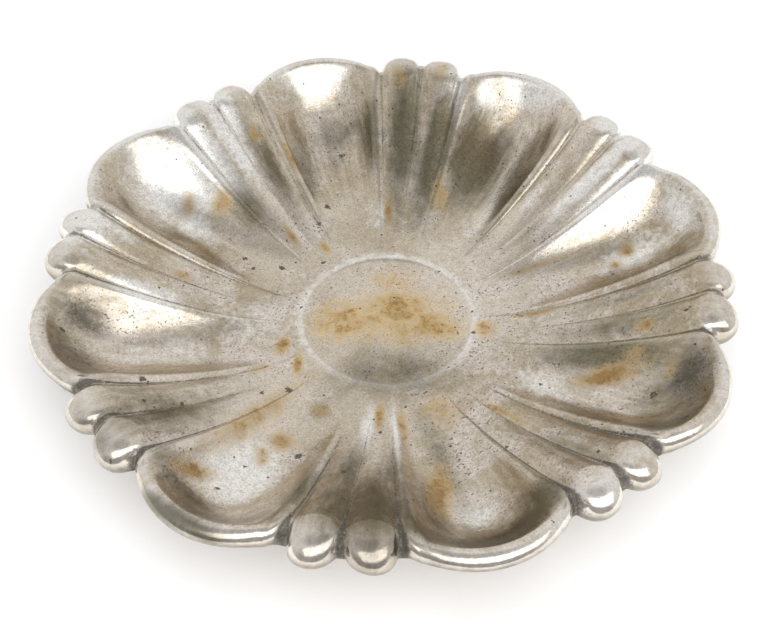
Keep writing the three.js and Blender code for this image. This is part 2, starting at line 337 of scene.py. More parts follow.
# The underside is the upper face softened along each ring, since a die's detail blurs through
# the sheet, then moved in by the sheet's thickness, with fewer rings where it is plain. A
# half-round trimmed edge joins the two.
SOFT_PASSES = 6
UNDER_MIDDLE_STEP, UNDER_BOWL_STEP = 2, 3
EDGE_TURNS = (45, 90, 135)
land_row = MEDALLION_RINGS + WALL_RINGS
bowl_row = land_row + LAND_RINGS
rise_row = bowl_row + BOWL_RINGS
soft_face = top_face
for _ in range(SOFT_PASSES):
    soft_face = (2 * soft_face + np.roll(soft_face, 1, axis=1) + np.roll(soft_face, -1, axis=1)) / 4
under_face = soft_face - SHEET * ring_normals(soft_face)
under_face[:bowl_row] = top_face[:bowl_row] - [0, 0, SHEET]
under_face[land_row:bowl_row, :, 2] = LAND_TOP - SHEET
kept_rows = np.concatenate([
    np.arange(1, bowl_row, UNDER_MIDDLE_STEP),
    np.arange(bowl_row, rise_row, UNDER_BOWL_STEP),
    np.arange(rise_row, len(top_face)),
])
edge_middle = (top_face[-1] + under_face[-1]) / 2
edge_half = (top_face[-1] - under_face[-1]) / 2
edge_out = top_face[-1] - top_face[-2]
edge_out *= SHEET / 2 / np.linalg.norm(edge_out, axis=-1, keepdims=True)
edge_turn = np.radians(EDGE_TURNS)[:, None, None]
edge_face = edge_middle + edge_half * np.cos(edge_turn) + edge_out * np.sin(edge_turn)
rings = np.concatenate([top_face, edge_face, under_face[kept_rows][::-1]])
ring_count, column_count = rings.shape[:2]


def lathe_faces(ring_count, column_count):
    """Quads between each ring and the next, closed all round."""
    ring = np.arange(ring_count - 1)[:, None] * column_count
    here = np.arange(column_count)[None, :]
    there = (here + 1) % column_count
    corners = [ring + here, ring + column_count + here, ring + column_count + there, ring + there]
    return np.stack(corners, axis=-1).reshape(-1, 4)


def new_piece(name, points, faces):
    """A smooth mesh object at the origin from points in millimetres and lists of corners."""
    mesh = bpy.data.meshes.new(name)
    mesh.from_pydata((points * MILLIMETRE).tolist(), [], faces)
    mesh.polygons.foreach_set("use_smooth", np.ones(len(mesh.polygons), dtype=bool))
    mesh.update()
    piece = bpy.data.objects.new(name, mesh)
    bpy.context.scene.collection.objects.link(piece)
    return piece


around = np.arange(column_count)
beyond = (around + 1) % column_count
top_pole = ring_count * column_count
last_ring = (ring_count - 1) * column_count
top_fan = np.stack([np.full(column_count, top_pole), around, beyond], axis=-1)
under_pole = top_pole + 1
under_fan = np.stack([np.full(column_count, under_pole), last_ring + beyond, last_ring + around], axis=-1)
middle = LAND_TOP - MEDALLION_STEP + MEDALLION_DOME
poles = np.array([[0, 0, middle], [0, 0, middle - SHEET]])
dish_points = np.concatenate([rings.reshape(-1, 3), poles])
dish_faces = lathe_faces(ring_count, column_count).tolist() + top_fan.tolist() + under_fan.tolist()
dish = new_piece("dish", dish_points, dish_faces)


# Wear, with painted highlights and painted dark reflections, as numbers on the dish's points. A
# patch is a soft ellipse on the upper face: the angle and radius of its middle, its half length
# outwards and half width across, its turn, and its strength. A brown spot is its angle, its radius
# from the axis and its size.
BRASS_PATCHES = [
    (344, 2, 29, 15, 0, 0.68), (23, 6, 13, 11, 0, 0.95), (332, 18, 13, 9, 0, 0.85),
    (171, 18, 14, 13, 0, 0.75), (68, 20, 9, 11, 0, 0.55), (226, 55, 5, 5, 0, 0.5),
    (336, 40, 5, 5, 0, 0.75), (266, 92, 14, 5, -15, 1.1), (277, 54, 11, 9, 0, 0.55),
    (321, 93, 13, 4, 23, 1.1), (325, 100, 4, 3, 0, 0.7), (322, 116, 3, 3, 0, 0.7),
    (217, 113, 8, 3, -25, 1.0), (223, 76, 5, 5, 0, 1.0), (222, 87, 5, 3, 30, 0.7),
    (213, 75, 28, 5, 4, 0.75), (200, 44, 6, 2, 54, 1.0), (184, 45, 5, 3, 60, 1.0),
    (194, 59, 5, 3, 0, 0.6), (131, 104, 3, 6, 20, 0.8), (126, 92, 4, 5, -20, 0.85),
    (143, 91, 8, 3, 53, 0.6), (2, 106, 4, 4, 0, 0.9), (359, 99, 3, 3, 0, 0.9),
    (8, 69, 17, 2, -6, 0.6), (47, 122, 4, 3, 0, 0.4), (156, 85, 4, 3, 0, 0.8),
    (108, 106, 4, 3, 0, 0.9), (102, 93, 9, 2, 0, 0.9), (117, 61, 7, 2, -7, 0.9),
    (108, 49, 4, 2, 0, 0.8), (72, 120, 6, 4, 0, 0.6), (63, 124, 6, 4, 0, 0.6),
    (74, 61, 7, 2, 0, 1.0), (56, 73, 11, 4, 16, 0.6), (251, 52, 8, 2, 0, 0.9),
    (260, 57, 9, 2, 0, 0.8), (332, 102, 4, 3, 0, 0.8), (345, 61, 10, 1.5, 0, 0.9),
    (294, 68, 11, 2, 5, 0.8),
]
BROWN_SPOTS = [
    (206, 65, 1.5), (210, 55, 1.7), (136, 69, 1.4), (139, 63, 0.9), (132, 53, 1.5),
    (120, 61, 0.8), (115, 42, 1.1), (155, 36, 0.9), (35, 35, 0.7), (351, 35, 0.7),
    (332, 36, 0.9), (297, 36, 0.8), (87, 97, 1.5), (97, 69, 1.4), (104, 61, 1.2),
    (140, 133, 0.7), (177, 128, 1.1), (230, 80, 1.5), (221, 95, 0.9), (221, 110, 1.0),
    (322, 73, 0.9), (313, 70, 0.9), (294, 115, 0.8), (356, 96, 0.8), (274, 71, 1.0),
    (209, 134, 0.7), (202, 96, 1.0), (318, 112, 1.7), (311, 128, 1.4), (193, 104, 1.2),
    (200, 109, 0.8), (252, 61, 0.8), (263, 47, 0.7), (285, 86, 0.8), (244, 88, 1.5),
    (333, 116, 1.0), (99, 92, 0.7), (92, 84, 0.6), (47, 92, 0.6), (163, 92, 0.7),
    (12, 72, 0.6),
]
SOOTY_CLOUDS = [
    (173, 118, 10, 7, 0, 0.9), (321, 123, 9, 11, 0, 0.85), (244, 84, 8, 4, 20, 0.45),
    (36, 114, 12, 3, 16, 0.7), (142, 119, 8, 3, -33, 0.7), (308, 118, 4, 10, 0, 0.5),
    (220, 122, 4, 14, 0, 0.6), (272, 122, 4, 18, 0, 0.6),
]
# Tarnish, together with painted dark reflections on petals and ribs and on the near part of the
# medallion.
TARNISH_AND_DARK_REFLECTION_PLACES = [
    (50, 97, 27, 15, 0, 1.05), (45, 100, 22, 13, 0, 0.5), (39, 114, 13, 4, 10, 0.5),
    (57, 74, 14, 7, 0, 0.6), (70, 98, 30, 9, 0, 1.0), (85, 107, 9, 19, 15, 0.55),
    (79, 99, 21, 5, 0, 0.8), (108, 92, 21, 5, 0, 0.85), (104, 74, 14, 3, 0, 0.5),
    (122, 82, 15, 7, 0, 0.8), (141, 97, 20, 4, 12, 0.5), (204, 106, 30, 14, 0, 0.75),
    (237, 106, 22, 5, 0, 0.8), (251, 112, 30, 24, 0, 0.9), (246, 92, 28, 5, 0, 0.7),
    (256, 94, 26, 5, 0, 0.7), (263, 107, 22, 6, 0, 0.8), (281, 118, 9, 9, 0, 0.9),
    (270, 76, 34, 6, 0, 0.55), (293, 106, 24, 5, 0, 0.5), (300, 108, 22, 4, 0, 0.5),
    (325, 90, 28, 6, 0, 0.9), (318, 116, 14, 15, 0, 0.55), (308, 104, 22, 4, 0, 0.5),
    (333, 92, 30, 6, 0, 0.6), (342, 95, 26, 4, 0, 0.5), (351, 110, 16, 4, 0, 0.7),
    (33, 72, 20, 4, 0, 0.5), (20, 72, 16, 3, 0, 0.5), (258, 31, 15, 30, 0, 0.64),
    (275, 32, 5, 13, 0, 0.5), (238, 31, 8, 14, 0, 0.55), (183, 124, 8, 16, 0, 0.5),
    (262, 123, 8, 8, 0, 1.1), (60.5, 93, 32, 7, 0, 1.1), (290, 13, 9, 11, 0, 0.35),
    (60, 64, 12, 4, 0, 0.6), (66, 80, 10, 3, 0, 0.5), (90, 95, 9, 10, 0, 0.4),
    (167, 112, 10, 7, 0, 0.4), (226, 55, 5, 5, 0, 0.75), (222, 137, 4, 34, 0, 0.9),
    (258, 136, 5, 16, 0, 0.6), (204, 132, 5, 14, 0, 0.6),
]
# Places rubbed clean, together with painted highlights on petals, ribs and floors.
CLEAN_AND_HIGHLIGHT_PLACES = [
    (60, 118, 10, 6, 0, 1.2), (111, 118, 15, 4, 0, 0.9), (121, 112, 25, 7, 0, 1.3),
    (127, 108, 16, 8, 0, 1.0), (134, 98, 14, 8, 0, 0.7), (90, 129, 5, 20, 0, 0.8),
    (44, 131, 5, 18, 0, 0.8), (19, 108, 24, 4, 0, 1.2), (12, 112, 24, 8, 0, 1.2),
    (359, 108, 18, 11, 0, 0.7), (168, 60, 22, 11, 0, 0.4), (313, 70, 18, 8, 0, 0.5),
    (222, 99, 21, 15, 0, 0.7), (271, 108, 8, 8, 0, 0.6), (247, 60, 16, 3, 0, 0.7),
    (257, 62, 20, 2, 0, 0.7), (77, 58, 12, 10, 0, 0.35), (152, 118, 16, 8, 0, 0.6),
    (310, 122, 6, 8, 0, 0.6), (24, 128, 8, 8, 0, 0.8), (99, 94, 18, 6, 0, 0.6),
    (2, 128, 6, 17, 0, 0.7), (39, 92, 18, 5, 0, 0.6), (131, 116, 20, 15, 0, 0.8),
    (90, 123, 9, 16, 0, 0.35), (53, 122, 8, 8, 0, 0.6), (166, 98, 15, 6, 0, 0.9),
    (180, 92, 26, 11, 0, 0.4), (114, 108, 22, 6, 0, 0.9), (156, 122, 12, 10, 0, 0.7),
    (38, 72, 14, 4, 0, 0.6), (28, 86, 12, 3, 0, 0.5),
]
PATCH_POWER = 1.1
SPOT_CLEAR = 2.6
SPOT_FAR = 40.0


def patched(patches):
    """The strongest patch at each point: a bell over the patch's length and width."""
    place, out, length, width, turn, strength = np.array(patches).T[:, :, None, None]
    place, turn = np.radians(place), np.radians(place + turn)
    along_x = east - out * np.cos(place)
    along_y = north - out * np.sin(place)
    along = (along_x * np.cos(turn) + along_y * np.sin(turn)) / length
    beside = (along_y * np.cos(turn) - along_x * np.sin(turn)) / width
    return (strength * np.exp(-((along**2 + beside**2) ** PATCH_POWER))).max(axis=0)


def from_nearest(stains):
    """Each point's way from the nearest stain, counted in the stain's own size.

    The third number keeps points that are well clear of the stain away from it.
    """
    place, out, size = np.array(stains).T[:, :, None, None]
    way_x = east - out * np.cos(np.radians(place))
    way_y = north - out * np.sin(np.radians(place))
    gap = np.hypot(way_x, way_y) - size
    nearest = gap.argmin(axis=0)[None]
    way = [np.take_along_axis(way / size, nearest, axis=0)[0] for way in (way_x, way_y)]
    return np.stack([*way, SPOT_FAR * (gap.min(axis=0) > SPOT_CLEAR)], axis=-1)


def bell(gap, width):
    """1 where the gap is 0, falling by the square of the gap's share of the width."""
    return np.exp(-((gap / width) ** 2))


# Dirt sits in the creases and grooves, with painted shade laid over it, more so near the rim and
# most in the notches, and less on the far side. Hands and cloths keep the beads, bulbs, lips and
# the medallion's edge bright, and a painted highlight is laid along the same places.
CREASE_DIRT_AND_SHADE_WIDTH = 0.65
NOTCH_DIRT_AND_SHADE_WIDTH = 2.6
GROOVE_DIRT_AND_SHADE = 0.9
DIRT_AND_SHADE_INNER, DIRT_AND_SHADE_OUTER, DIRT_AND_SHADE_POWER = 0.25, 1.1, 0.7
FAR_ANGLE = math.radians(74)
FAR_LEAN = (-0.3, 0.5)
FAR_DIRT_AND_SHADE, FAR_RIM_DIRT_AND_SHADE = 0.7, 0.4
BEAD_CREST, BEAD_SHINE, BEAD_SHINE_WIDTH = 0.905, 0.7, 0.04
STEP_SHINE = 0.4
STEP_SHINE_BAND = {"rise": (-2.6, -1.4), "end": -0.6, "width": 2.5}
RIM_DIRT_AND_SHADE_ROWS = (-6, 6)  # rows of the mesh, counted from the start of the rise to the edge
RIM_SHINE_ROWS = (-2, 4)


def medallion_band(rise, end, width):
    """A band at the medallion's edge: up over the rise, then a bell past the end."""
    past_edge = radius - MEDALLION_RADIUS
    return ramp(past_edge, *rise) * bell(np.maximum(past_edge - end, 0), width)


crease_gap = all_round(np.abs(half_angle - crease_angle(half_radius)) * half_radius)
groove_gap = all_round((HALF_PITCH - half_angle) * half_radius)
rows_past_rise = np.arange(len(top_face))[:, None] - rise_row
at_rim = ramp(rows_past_rise, *RIM_DIRT_AND_SHADE_ROWS)
dirt_and_shade_width = lerp(CREASE_DIRT_AND_SHADE_WIDTH, NOTCH_DIRT_AND_SHADE_WIDTH, at_rim)
# Painted shade: the creases, grooves and notches are darkened along with their dirt, less so on the far
# side.
dirt_and_shade = np.maximum(bell(crease_gap, dirt_and_shade_width), GROOVE_DIRT_AND_SHADE * bell(groove_gap, dirt_and_shade_width))
dirt_and_shade = dirt_and_shade * lerp(DIRT_AND_SHADE_INNER, DIRT_AND_SHADE_OUTER, growth(radius, RIB_START) ** DIRT_AND_SHADE_POWER)
far_side = ramp(np.cos(angle - FAR_ANGLE), *FAR_LEAN)
dirt_and_shade = dirt_and_shade * lerp(1.0, lerp(FAR_DIRT_AND_SHADE, FAR_RIM_DIRT_AND_SHADE, at_rim), far_side)
dirt_and_shade[radius < RIB_START] = 0
bead_gap = all_round(np.abs(half_stations[None, :] - BEAD_CREST) + 0 * half_radius)
# Rubbed polish, with a painted highlight along the bead crests, the medallion's step and the rolled rim.
rubbed_and_sheen = BEAD_SHINE * bell(bead_gap, BEAD_SHINE_WIDTH) * growth(radius, RIDGE_START)
rubbed_and_sheen = np.maximum(rubbed_and_sheen, STEP_SHINE * medallion_band(**STEP_SHINE_BAND))
rubbed_and_sheen = np.maximum(rubbed_and_sheen, ramp(rows_past_rise, *RIM_SHINE_ROWS))


def put_on_points(piece, name, top_values):
    """Store the upper face's values as a named number on the points; 0 at the underside."""
    values = np.zeros(len(piece.data.vertices), dtype=np.float32)
    values[:top_values.size] = top_values.ravel()
    values[top_pole] = top_values[0].mean()
    piece.data.attributes.new(name, "FLOAT", "POINT").data.foreach_set("value", values)


spot_ways = np.full((len(dish.data.vertices), 3), SPOT_FAR, dtype=np.float32)
spot_ways[:radius.size] = from_nearest(BROWN_SPOTS).reshape(-1, 3)
dish.data.attributes.new("spot", "FLOAT_VECTOR", "POINT").data.foreach_set("vector", spot_ways.ravel())
put_on_points(dish, "brass", patched(BRASS_PATCHES))
put_on_points(dish, "soot", patched(SOOTY_CLOUDS))

# Tarnish also gathers under the roll, with painted shade laid over it there, and a painted dark
# reflection lies in a crescent along each petal's end wall, given from the petal at +X round to
# the left. The medallion has a painted highlight, a pale ring, at its edge.
ROLL_TARNISH_AND_SHADE = 0.7
ROLL_TARNISH_AND_SHADE_ROWS = (10, 14)
END_WALL_DARK_REFLECTION = [0.2, 0.2, 0.0, 0.2, 0.35, 0.6, 1.0, 0.4]
CRESCENT_GAP = 7.0
CRESCENT_WIDTH = 8.0
CRESCENT_STATIONS = (0.99, 0.93)
RING_HIGHLIGHT = 0.35
RING_HIGHLIGHT_BAND = {"rise": (-1.4, -0.4), "end": 0.4, "width": 2.6}
# Tarnish and painted shade under the roll.
roll_under = ROLL_TARNISH_AND_SHADE * ramp(rows_past_rise, *ROLL_TARNISH_AND_SHADE_ROWS)
wall_gap = all_round(np.maximum(rise_start(half_stations)[None, :] - half_radius, 0))
in_petal = all_round(ramp(half_stations, *CRESCENT_STATIONS)[None, :] + 0 * half_radius)
petal = np.round(angle / (2 * HALF_PITCH)).astype(int) % PETAL_COUNT
# Painted dark reflection: a crescent on each end wall, its strength given petal by petal.
crescent = np.array(END_WALL_DARK_REFLECTION)[petal] * in_petal * (rows_past_rise < 0)
crescent = crescent * bell(wall_gap - CRESCENT_GAP, CRESCENT_WIDTH)
tarnish_and_shade = np.maximum(np.maximum(patched(TARNISH_AND_DARK_REFLECTION_PLACES), roll_under), crescent)
put_on_points(dish, "tarnish_and_shade", tarnish_and_shade)
# Painted highlight: a pale ring at the medallion's edge.
ring_highlight = RING_HIGHLIGHT * medallion_band(**RING_HIGHLIGHT_BAND)
put_on_points(dish, "clean_and_highlight", np.maximum(patched(CLEAN_AND_HIGHLIGHT_PLACES), ring_highlight))
put_on_points(dish, "dirt_and_shade", dirt_and_shade)
put_on_points(dish, "rubbed_and_sheen", rubbed_and_sheen)


class Shade:
    """One socket of a node tree. Sums, differences and products of shades add Math nodes."""

    def __init__(self, tree, socket=None):
        self.tree, self.socket = tree, socket

    def node(self, kind, settings=None, sockets=None, out=0):
        """Add a node of a type: its settings first, then the values or links of its sockets."""
        made = self.tree.nodes.new(kind)
        for name, value in (settings or {}).items():
            setattr(made, name, value)
        for name, value in (sockets or {}).items():
            if isinstance(value, Shade):
                self.tree.links.new(value.socket, made.inputs[name])
            else:
                made.inputs[name].default_value = value
        return Shade(self.tree, made.outputs[out])

    def math(self, operation, *values):
        """A Math node of an operation on shades and numbers."""
        return self.node("ShaderNodeMath", {"operation": operation}, dict(enumerate(values)))

    def __add__(self, other):
        return self.math("ADD", self, other)

    def __radd__(self, other):
        return self.math("ADD", other, self)

    def __sub__(self, other):
        return self.math("SUBTRACT", self, other)

    def __rsub__(self, other):
        return self.math("SUBTRACT", other, self)

    def __mul__(self, other):
        return self.math("MULTIPLY", self, other)

    def __rmul__(self, other):
        return self.math("MULTIPLY", other, self)

    def swing(self, size):
        """A noise's way from its middle, times a size."""
        return size * (self - 0.5)

    def step(self, low, high):
        """0 up to low, 1 from high on, smooth between; falling where low is above high."""
        sockets = {"Value": self, "From Min": low, "From Max": high}
        return self.node("ShaderNodeMapRange", {"interpolation_type": "SMOOTHSTEP"}, sockets)

    def colour(self, first, second):
        """The first colour where this shade is 0, the second where it is 1.

        The Mix node's colours are its sockets 6 and 7 and its output 2.
        """
        mixed = {0: self, 6: first, 7: second}
        return self.node("ShaderNodeMix", {"data_type": "RGBA"}, mixed, out=2)

    def grey(self):
        """A grey of this shade's level."""
        return self.node("ShaderNodeCombineColor", {}, {"Red": self, "Green": self, "Blue": self})

    def bump(self, strength, depth):
        """A normal from this shade as a height, depth being the height of 1 in metres."""
        return self.node("ShaderNodeBump", {}, {"Strength": strength, "Distance": depth, "Height": self})


def new_finish(name):
    """An empty material with its Principled shader, and a Shade of its Object coordinates."""
    material = bpy.data.materials.new(name)
    material.use_nodes = True
    shader = material.node_tree.nodes["Principled BSDF"]
    place = Shade(material.node_tree).node("ShaderNodeTexCoord", out="Object")
    return material, shader, place


def noise(place, scale, detail=2.0, roughness=0.5, distortion=0.0):
    """Cloudy noise from 0 to 1, scale being the number of clouds in a metre."""
    sockets = {"Vector": place, "Scale": scale, "Detail": detail}
    sockets.update({"Roughness": roughness, "Distortion": distortion})
    return place.node("ShaderNodeTexNoise", {}, sockets)


def spots(place, scale, share, size):
    """Round spots in a share of the cells of a random grid, size being their radius in cells."""
    cell = {"Vector": place, "Scale": scale}
    distance = place.node("ShaderNodeTexVoronoi", {}, cell)
    chance = place.node("ShaderNodeTexVoronoi", {}, cell, out="Color")
    red = place.node("ShaderNodeSeparateColor", {}, {"Color": chance})
    return distance.step(size, 0.5 * size) * red.step(share, 0.7 * share)


def plug(shader, socket, shade):
    """Link a shade to a socket of the shader."""
    shade.tree.links.new(shade.socket, shader.inputs[socket])


# Clean silver, also used for painted highlights.
SILVER_CLEAN_AND_HIGHLIGHT = (0.92, 0.895, 0.85, 1)
SILVER = (0.73, 0.65, 0.545, 1)
SILVER_DULL = (0.465, 0.39, 0.27, 1)
SILVER_LILAC = (0.84, 0.765, 0.705, 1)
# The dark of tarnish, also used for painted dark reflections and shade.
TARNISH_AND_SHADE = (0.15, 0.118, 0.062, 1)
TARNISH_AND_SHADE_GREEN = (0.165, 0.15, 0.098, 1)
BRASS_PALE = (0.76, 0.54, 0.24, 1)
BRASS_TAN = (0.6, 0.445, 0.24, 1)
BRASS_BARE = (0.42, 0.25, 0.088, 1)
BRASS_DARK = (0.26, 0.145, 0.05, 1)
BROWN_STAIN = (0.05, 0.036, 0.024, 1)
BROWN_PIT = (0.10, 0.066, 0.036, 1)
BLACK_PIT = (0.03, 0.026, 0.02, 1)
# The dark of dirt and soot, also used for the painted shade in the creases.
DIRT_AND_SHADE = (0.04, 0.034, 0.026, 1)
GRIME_AND_SHADE = (0.26, 0.225, 0.165, 1)
GRAIN_SCALE = 1300  # clouds or cells in a metre, as for all scales
PIT_SCALE = 850
FLECK_SCALE = 400
PRICK_SCALE = 200
SHAPE_SCALE = 130
CLOUD_SCALE = 45
DRIFT_SCALE = 14
STREAK_SCALE = 48  # taken on directions, which are points of a sphere of one metre's radius
PLATE_RELIEF = 0.00012

silver, shader, place = new_finish("worn_silver_plate")
clean_and_highlight_here, tarnish_and_shade_here, worn, soot_here, dirt_and_shade_here, rubbed_and_sheen_here = [
    place.node("ShaderNodeAttribute", {"attribute_name": name}, out="Fac")
    for name in ("clean_and_highlight", "tarnish_and_shade", "brass", "soot", "dirt_and_shade", "rubbed_and_sheen")
]
grain = noise(place, GRAIN_SCALE, 3, 0.7)
flecks = noise(place, FLECK_SCALE, 5, 0.7)
clouds = noise(place, CLOUD_SCALE, 5, 0.62, 0.6)
drifts = noise(place, DRIFT_SCALE, 3, 0.5, 0.4)
shapes = noise(place, SHAPE_SCALE, 3, 0.55, 0.8)
ragged = flecks.swing(0.9) + shapes.swing(1.3) + clouds.swing(0.7)
outward = place.node("ShaderNodeVectorMath", {"operation": "NORMALIZE"}, {0: place})
distance = place.node("ShaderNodeVectorMath", {"operation": "LENGTH"}, {0: place}, out="Value")
streaks = 0.5 + distance.step(0.045, 0.1) * (noise(outward, STREAK_SCALE, 4, 0.6) - 0.5)

# Dulled plating with paler clouds, places rubbed clean and painted highlights, and tarnish with painted
# dark reflections and shade.
dulled = (drifts + clouds.swing(0.5) + flecks.swing(0.4) + streaks.swing(0.5)).step(0.32, 0.64)
base = (dulled * (1 - 0.5 * rubbed_and_sheen_here)).colour(SILVER, SILVER_DULL)
base = (0.65 * (clouds + flecks.swing(0.3)).step(0.4, 0.66)).colour(base, SILVER_LILAC)
# Plating rubbed clean and painted highlights, in paler silver.
cleaned_and_highlit = (clean_and_highlight_here + 0.4 * rubbed_and_sheen_here + 0.5 * ragged).step(0.1, 0.8)
base = (0.95 * cleaned_and_highlit).colour(base, SILVER_CLEAN_AND_HIGHLIGHT)
# Tarnish with painted dark reflections and painted shade darkens the plating here.
tarnished_and_shaded = (tarnish_and_shade_here + 0.45 * ragged + streaks.swing(0.5)).step(0.05, 0.95)
tarnish_and_shade_colour = drifts.step(0.42, 0.6).colour(TARNISH_AND_SHADE, TARNISH_AND_SHADE_GREEN)
base = (0.93 * tarnished_and_shaded * (1 - 0.1 * rubbed_and_sheen_here)).colour(base, tarnish_and_shade_colour)

# A golden film where the plating is thin, and brass bared in its middle.
speckle = flecks.swing(1.1) + grain.swing(0.9) + shapes.swing(0.8)
film = (worn + speckle).step(0.0, 0.85) * worn.step(0.03, 0.3)
golden = distance.step(0.034, 0.06).colour(BRASS_PALE, BRASS_TAN)
base = (0.88 * film).colour(base, golden)
bare = (worn + 1.5 * speckle).step(0.45, 1.2) * worn.step(0.03, 0.3)
brass = (flecks + grain.swing(0.9) + clouds.swing(0.5)).step(0.4, 0.66).colour(BRASS_BARE, BRASS_DARK)
base = (0.85 * bare).colour(base, brass)

# Brown stains, soot, pits and pricks, and dirt with painted shade in the creases and notches.
spot_way = place.node("ShaderNodeAttribute", {"attribute_name": "spot"}, out="Vector")
spot_gap = place.node("ShaderNodeVectorMath", {"operation": "LENGTH"}, {0: spot_way}, out="Value")
stained = (spot_gap + flecks.swing(3.6) + grain.swing(1.6)).step(0.95, 0.55)
base = (0.88 * stained).colour(base, BROWN_STAIN)
speckled = (1.1 * soot_here + grain.swing(1.5) + flecks.swing(1.0)).step(0.2, 1.0)
base = (0.8 * speckled).colour(base, DIRT_AND_SHADE)
pits = (noise(place, PIT_SCALE, 2, 0.6) + clouds.swing(0.35) + flecks.swing(0.3)).step(0.645, 0.72)
pits = pits * (1 - 0.8 * cleaned_and_highlit) * (1 - 0.6 * rubbed_and_sheen_here) * (1 - 0.5 * film)
base = (0.8 * pits).colour(base, BROWN_PIT)
pricks = spots(place, PRICK_SCALE, 0.24, 0.12)
base = (0.85 * pricks).colour(base, BLACK_PIT)
# Dirt together with painted shade, dark in the creases, grooves and notches.
dirty_and_shaded = (dirt_and_shade_here + flecks.swing(1.3) + clouds.swing(0.9)).step(0.35, 0.85) * dirt_and_shade_here.step(0.02, 0.2)
grime_and_shade = (grain + flecks - 1.0).step(-0.05, 0.3).colour(DIRT_AND_SHADE, GRIME_AND_SHADE)
base = (0.9 * dirty_and_shaded).colour(base, grime_and_shade)
mottle = 1 + (1 - 0.6 * rubbed_and_sheen_here) * (grain.swing(1.3) + flecks.swing(0.9))
mottled = {0: 1.0, 6: base, 7: mottle.grey()}
base = place.node("ShaderNodeMix", {"data_type": "RGBA", "blend_type": "MULTIPLY"}, mottled, out=2)
plug(shader, "Base Color", base)

# Dirt with its painted shade, and stains, are dull and not metal, rubbed metal is smoother, and pits and
# wear are sunk.
soiled = dirty_and_shaded.math("MAXIMUM", dirty_and_shaded, 0.7 * stained)
plug(shader, "Metallic", 1 - 0.75 * soiled)
polish = (0.16 + 0.12 * clouds) * (1 - 0.4 * rubbed_and_sheen_here)
plug(shader, "Roughness", polish + 0.1 * bare + 0.06 * tarnished_and_shaded + 0.25 * soiled)
tool_marks = (1 - 0.7 * rubbed_and_sheen_here) * (0.6 * grain + 1.0 * flecks) + 7.0 * clouds
sunk = 1.2 * pits + 0.8 * stained + 0.6 * bare
plug(shader, "Normal", (tool_marks - sunk).bump(0.4, PLATE_RELIEF))

dish.data.materials.append(silver)
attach(dish, "root")
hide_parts("dish_body")

# The plate stands on a ring turned from brass and silver-plated: a flat flange that is soldered
# under the land, a wall that flares outwards, and a round bead that rests on the table.

FLANGE_INNER = 37.7
FLANGE_OUTER = 43.9
FOOT_HEIGHT = 7.0
FOOT_WALL = 1.2
BEAD_INNER = 44.3
BEAD_WIDTH = 2.0
BEAD_ROUND = 0.6
FOOT_COLUMNS = 240
FLANGE_EASE = 0.2
CORNER_IN = 0.5
CORNER_DOWN = 0.4
WAIST = 0.25


def turned(name, section):
    """A closed section of radius and height, carried round the axis."""
    section = np.array(section)
    turn = np.linspace(0, 2 * math.pi, FOOT_COLUMNS, endpoint=False)
    out, up = section[:, :1], section[:, 1:]
    ring = np.stack([out * np.cos(turn), out * np.sin(turn), up + 0 * turn], axis=-1)
    faces = lathe_faces(len(section) + 1, FOOT_COLUMNS) % (len(section) * FOOT_COLUMNS)
    return new_piece(name, ring.reshape(-1, 3), faces.tolist())


def corner(centre, size, start, end, count=5):
    """Points on a round corner from the start angle to the end angle, in degrees."""
    turn = np.radians(np.linspace(start, end, count))
    return [(centre[0] + size * math.cos(at), centre[1] + size * math.sin(at)) for at in turn]


bead_outer = BEAD_INNER + BEAD_WIDTH
flange_under = FOOT_HEIGHT - FOOT_WALL
bead_top = FOOT_WALL + BEAD_ROUND
wall_inner = FLANGE_OUTER - FOOT_WALL
waist_height = (flange_under + bead_top) / 2
foot_section = [
    (FLANGE_INNER, FOOT_HEIGHT),
    (FLANGE_INNER, flange_under + FLANGE_EASE),
    (FLANGE_INNER + FLANGE_EASE, flange_under),
    (wall_inner - CORNER_IN, flange_under),
    (wall_inner, flange_under - CORNER_DOWN),
    ((wall_inner + BEAD_INNER) / 2 - WAIST, waist_height),
    (BEAD_INNER, bead_top),
    *corner((BEAD_INNER, BEAD_ROUND), BEAD_ROUND, 180, 270),
    *corner((bead_outer, BEAD_ROUND), BEAD_ROUND, 270, 360),
    *corner((bead_outer, bead_top - BEAD_ROUND), BEAD_ROUND, 30, 90, 3),
    ((bead_outer + FLANGE_OUTER) / 2 - WAIST, waist_height),
    (FLANGE_OUTER, flange_under),
    (FLANGE_OUTER, FOOT_HEIGHT),
]
foot = turned("foot", foot_section)

FOOT_SILVER = (0.68, 0.635, 0.55, 1)
FOOT_DULL = (0.42, 0.385, 0.31, 1)
FOOT_CLOUD_SCALE = 60
FOOT_GRAIN_SCALE = 800
SCUFF_SCALE = 260
FOOT_RELIEF = 0.0001
plated, shader, place = new_finish("dull_silver_plate")
clouds = noise(place, FOOT_CLOUD_SCALE, 4, 0.6, 0.4)
grain = noise(place, FOOT_GRAIN_SCALE, 2, 0.6)
tint = (clouds + grain.swing(0.4)).step(0.35, 0.68).colour(FOOT_SILVER, FOOT_DULL)
scuffed = spots(place, SCUFF_SCALE, 0.2, 0.28)
plug(shader, "Base Color", (0.7 * scuffed).colour(tint, BLACK_PIT))
plug(shader, "Roughness", 0.32 + 0.16 * clouds)
plug(shader, "Metallic", 1 - 0.5 * scuffed)
plug(shader, "Normal", (grain + 2.0 * clouds - scuffed).bump(0.3, FOOT_RELIEF))
foot.data.materials.append(plated)
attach(foot, "root")
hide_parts("foot_ring")

# Two fillets of soft solder hold the foot: one runs round outside the flange, one inside it.
# The solder wetted both metals and set hollow, with a few dull lumps along its length.

